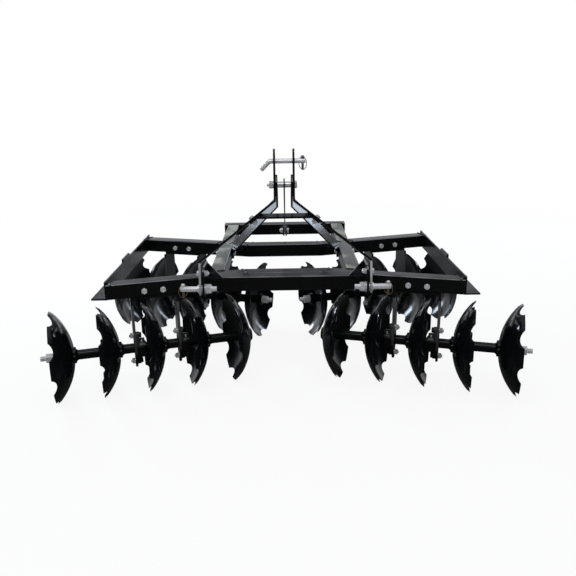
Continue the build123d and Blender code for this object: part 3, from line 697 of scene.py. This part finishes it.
# Hitch lugs: plates welded to the front crossbar's ends, each with a gusset and a bolt to the mast.
# A zinc plated pin stands out of each, shouldered outside and held by a nut and washer inside.
dress(frame_paint, "frame_paint", *both("hitch_lug"))
plate = 0.008
lug_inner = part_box("hitch_lug_right")[1].x - plate
strap_inner = lug_inner + plate + 0.006
strap_outer = strap_inner + plate
pin_low, pin_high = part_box("lower_pin_right")
pin_y, pin_z = front_face - 0.100, (pin_low.z + pin_high.z) / 2
pin_radius = 0.0095
top_y, top_z = front_face + 0.003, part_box("top_pin")[1].z - pin_radius
lean = math.atan2(top_y - pin_y, top_z - pin_z)


def along_x(points, y, z):
    """points laid out along the X axis, moved to a line at y and z"""
    return np.asarray(points, float) + (0.0, y, z)


lower_radius, collar_radius, ring_hole = 0.0110, 0.017, 0.010
shoulder_out = strap_outer + 0.008
washer_in, nut_in = lug_inner - 0.003, lug_inner - 0.025
lower_pin = [turned([(lug_inner - 0.030, 0.001), (lug_inner - 0.030, lower_radius),
                     (strap_outer + 0.006, lower_radius), (pin_high.x - 0.0045, lower_radius),
                     (pin_high.x - 0.0015, 0.0095), (pin_high.x, 0.0072), (pin_high.x, 0.001)], 48),
             turned([(strap_outer, ring_hole), (strap_outer, 0.0160), (strap_outer + 0.001, collar_radius),
                     (shoulder_out - 0.0012, collar_radius), (shoulder_out, 0.0155),
                     (shoulder_out, ring_hole)], 48),
             turned([(lug_inner + plate, ring_hole), (lug_inner + plate, collar_radius),
                     (strap_inner, collar_radius), (strap_inner, ring_hole)], 48),
             turned([(washer_in, ring_hole), (washer_in, 0.0205), (lug_inner, 0.0205),
                     (lug_inner, ring_hole)], 48),
             hexagon(0.034, 0.022, True) * (-1, 1, 1) + (washer_in, 0, 0),
             thread(0.0108, 0, nut_in - pin_low.x) * (-1, 1, 1) + (nut_in, 0, 0)]
for side, flip in hand.items():
    shells = [along_x(shell, pin_y, pin_z) * flip for shell in lower_pin]
    piece(f"lower_pin_steel_{side}", shells, zinc, "frame", [f"lower_pin_{side}"])
lug_bolt_rise, lug_bolt_size = 0.061, 0.013
lug_bolt = (strap_outer, pin_y + lug_bolt_rise * math.tan(lean), pin_z + lug_bolt_rise)
lug_bolts = bolt([lug_bolt], (1, 0, 0), strap_outer - lug_inner, lug_bolt_size)
piece("lug_bolts", mirrored_all(lug_bolts), zinc, "frame")
gusset_foot, gusset_top, thin_weld = lug_inner - 0.059, frame_top + 0.064, 0.0026
lug_weld = bead([(gusset_foot, front_face, frame_top), (lug_inner, front_face, frame_top)], thin_weld)
upright_weld = bead([(lug_inner, front_face, frame_top), (lug_inner, front_face, gusset_top)], thin_weld)
piece("lug_welds", [mirrored(lug_weld), mirrored(upright_weld)], weld_paint, "frame")


# Mast: two bent flat bars from the lower pins to the top link's pin, leaning back a little.
# A cross brace lies nearly level between them, bolted through its turned-down ends.
# The straps' forward faces get a painted grey highlight that grows from 0.10 m below the lower pins and ends
# about 0.10 m above them.
mast_paint = gloss_paint("mast_paint", enamel, 0.05, 0.13, 0.05,
                        front_highlight=(0.44, pin_z - 0.10, pin_z + 0.104))
dress(frame_paint, "frame_paint", "mast_cross_brace")
dress(mast_paint, "frame_paint", *both("mast_strap"))
mast_x, mast_upper_bend, mast_lower_bend, cross_rise = 0.038, 0.346, 0.108, 0.286


def mast_point(x, rise, out=0.0):
    """a point in the mast's leaning plane, at a rise up it from the lower pins, and out in front of it"""
    return np.array([x, pin_y + rise * math.sin(lean) - out * math.cos(lean),
                     pin_z + rise * math.cos(lean) + out * math.sin(lean)])


splay = np.array([strap_inner + plate / 2 - mast_x, mast_lower_bend - mast_upper_bend])
splay /= np.linalg.norm(splay)
inward = np.array([splay[1], -splay[0]])
inner_line = np.array([mast_x, mast_upper_bend]) + inward * plate
tab_length, cross_bolt_size = 0.028, 0.012
tab = inner_line + splay * ((cross_rise - inner_line[1]) / splay[1] + tab_length)
tab_head = tab - inward * 1.5 * plate
tab_bolt = mast_point(*tab_head)
tab_heading = mast_point(*(tab_head - inward)) - tab_bolt
cross_bolts = bolt([tab_bolt], tab_heading, 2 * plate, cross_bolt_size)
piece("cross_brace_bolts", mirrored_all(cross_bolts), zinc, "frame")


# Mast bolt: one long zinc plated bolt through the mast, the braces and the centre strap.
# Short lengths of tube on it keep them apart. Its head is on the right and its nut on the left.
bolt_rise, brace_face, strap_half = 0.409, 0.026, 0.003
bolt_centre = mast_point(0.0, bolt_rise)
mast_outer = mast_x + plate / 2
spacer_in, spacer_out, shank_radius, flats, nut_height = 0.0085, 0.0118, 0.008, 0.0255, 0.016
washer_out = mast_outer + 0.002
spacer = turned([(strap_half, spacer_in), (strap_half, spacer_out), (brace_face, spacer_out),
                 (brace_face, spacer_in), (strap_half, spacer_in)], 40)
mast_bolt = [spacer, spacer * (-1, 1, 1), hexagon(flats, 0.0088) + (mast_outer, 0, 0),
             turned([(-washer_out, 0.009), (-washer_out, 0.0145), (-mast_outer, 0.0145),
                     (-mast_outer, 0.009)], 40),
             hexagon(flats, nut_height, True) * (-1, 1, 1) - (washer_out, 0, 0),
             thread(0.0079, 0, 0.0078) * (-1, 1, 1) - (washer_out + nut_height, 0, 0),
             turned([(-mast_outer, 0.0005), (-mast_outer, shank_radius), (mast_outer, shank_radius),
                     (mast_outer, 0.0005)], 24)]
piece("mast_bolt_steel", [shell + bolt_centre for shell in mast_bolt], zinc, "frame", ["mast_bolt"])


# Top link's pin: zinc plated round bar in the mast's top holes.
# One end is bent down as a handle, and the other is drilled for its linchpin.
pin_left, pin_right = -0.057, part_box("top_pin")[1].x
handle_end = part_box("top_pin")[0].x
handle_bend, bend_radius = math.pi / 4, 0.016
bow = np.linspace(0, handle_bend, 9)
bend_start = pin_left + bend_radius * math.tan(handle_bend / 2)
bent = np.stack([bend_start - bend_radius * np.sin(bow), 0 * bow, bend_radius * (np.cos(bow) - 1)], axis=1)
handle_run = (bent[-1, 0] - handle_end - pin_radius * math.sin(handle_bend)) / math.cos(handle_bend)
diagonal = np.array([-math.cos(handle_bend), 0.0, -math.sin(handle_bend)])
top_path = np.concatenate([[(pin_right, 0, 0), (pin_right - 0.0008, 0, 0), (pin_right - 0.003, 0, 0),
                            (pin_right - 0.010, 0, 0), (0.03, 0, 0), (-0.03, 0, 0)], bent,
                           bent[-1] + np.array([0.5, 0.9, 0.97, 1.0])[:, None] * handle_run * diagonal])
top_radius = np.full(len(top_path), pin_radius)
top_radius[:3] = 0.0055, 0.0075, pin_radius
top_radius[-2:] = 0.0088, 0.0068
top_pin = along_x(pipe(top_path, top_radius, 32), top_y, top_z)
piece("top_pin_steel", [top_pin], zinc, "frame", ["top_pin"])


# Linchpins: forged, one down through the end of each hitch pin.
# A ring of spring wire goes from the head's eye round the hitch pin to the shank's tip. The lower two have
# plain zinc heads and are yellow plated from there down, and the top one is dull zinc.
yellow_zinc = zinc_plate("yellow_zinc", (0.36, 0.29, 0.21, 1), 0.26, 0.35)
dull_zinc = zinc_plate("dull_zinc", (0.36, 0.36, 0.37, 1), 0.34, 0.5)
ring_radius, ring_drop, wire, ring_turn, pin_inset = 0.0260, 0.008, 0.0015, math.radians(56.0), 0.012


def linchpin(x, y, z, carrier):
    """A bulbous head, a shank upright through a hitch pin of the carrier's radius, and a ring: a circle
    (cos t, sin t) of wire in an upright plane, its front half clear of the hitch pin's end."""
    head_low, tip = carrier + 0.0008, -ring_drop - ring_radius - wire
    head = turned([(head_low, 0.0005), (head_low, 0.0066), (head_low + 0.0015, 0.0070),
                   (head_low + 0.0075, 0.0070), (head_low + 0.0100, 0.0052), (head_low + 0.0112, 0.0020),
                   (head_low + 0.0113, 0.0005)], 24)
    shank = turned([(tip, 0.0005), (tip, 0.0030), (tip + 0.003, 0.0046), (tip + 0.006, 0.005),
                    (head_low, 0.005), (head_low, 0.0005)], 24)
    turn = np.linspace(0, 2 * math.pi, 48, endpoint=False)
    ring = ring_radius * np.stack([np.cos(turn) * math.cos(ring_turn), -np.cos(turn) * math.sin(ring_turn),
                                   np.sin(turn)], axis=1) - (0, 0, ring_drop)
    upright = [shell[..., [2, 1, 0]] for shell in (head, shank)]
    return [shell + (x, y, z) for shell in upright + [pipe(ring, wire, 10, True)]]


head, *shank_and_ring = linchpin(pin_high.x - pin_inset, pin_y, pin_z, lower_radius)
lower_yellow = mirrored_all([shell[None] for shell in shank_and_ring])
top_linchpin = linchpin(pin_right - pin_inset, top_y, top_z, pin_radius)
piece("linchpin_heads", mirrored_all([head[None]]), zinc, "frame")
piece("linchpin_steel", lower_yellow, yellow_zinc, "frame", ["linchpins"])
piece("top_linchpin_steel", top_linchpin, dull_zinc, "frame")


# Braces: flat bars from the mast bolt down to the rails, and a thin strap back to the rear crossbar.
# Zinc plated bolts hold their feet, and a clevis of two welded ears takes the strap.
brace_paint = gloss_paint("brace_paint", enamel, 0.55, 0.10, 0.10, mirror=0.6, ripples=110.0)
dress(frame_paint, "frame_paint", "centre_strap", "strap_clevis")
dress(brace_paint, "frame_paint", *both("rear_brace"))
foot_back, clevis_out, foot_bolt_size, clevis_bolt_size = 0.540, 0.030, 0.0135, 0.015
brace_foot = (rail_x - half - plate, front_face + foot_back, frame_middle)
clevis_side = (strap_half + plate, rear_bar_front - clevis_out, frame_middle)
foot_bolts = mirrored_all(bolt([brace_foot], (-1, 0, 0), tube + plate, foot_bolt_size))
clevis_bolt = bolt([clevis_side], (1, 0, 0), 2 * (strap_half + plate), clevis_bolt_size)
piece("brace_bolts", foot_bolts + clevis_bolt, zinc, "frame")
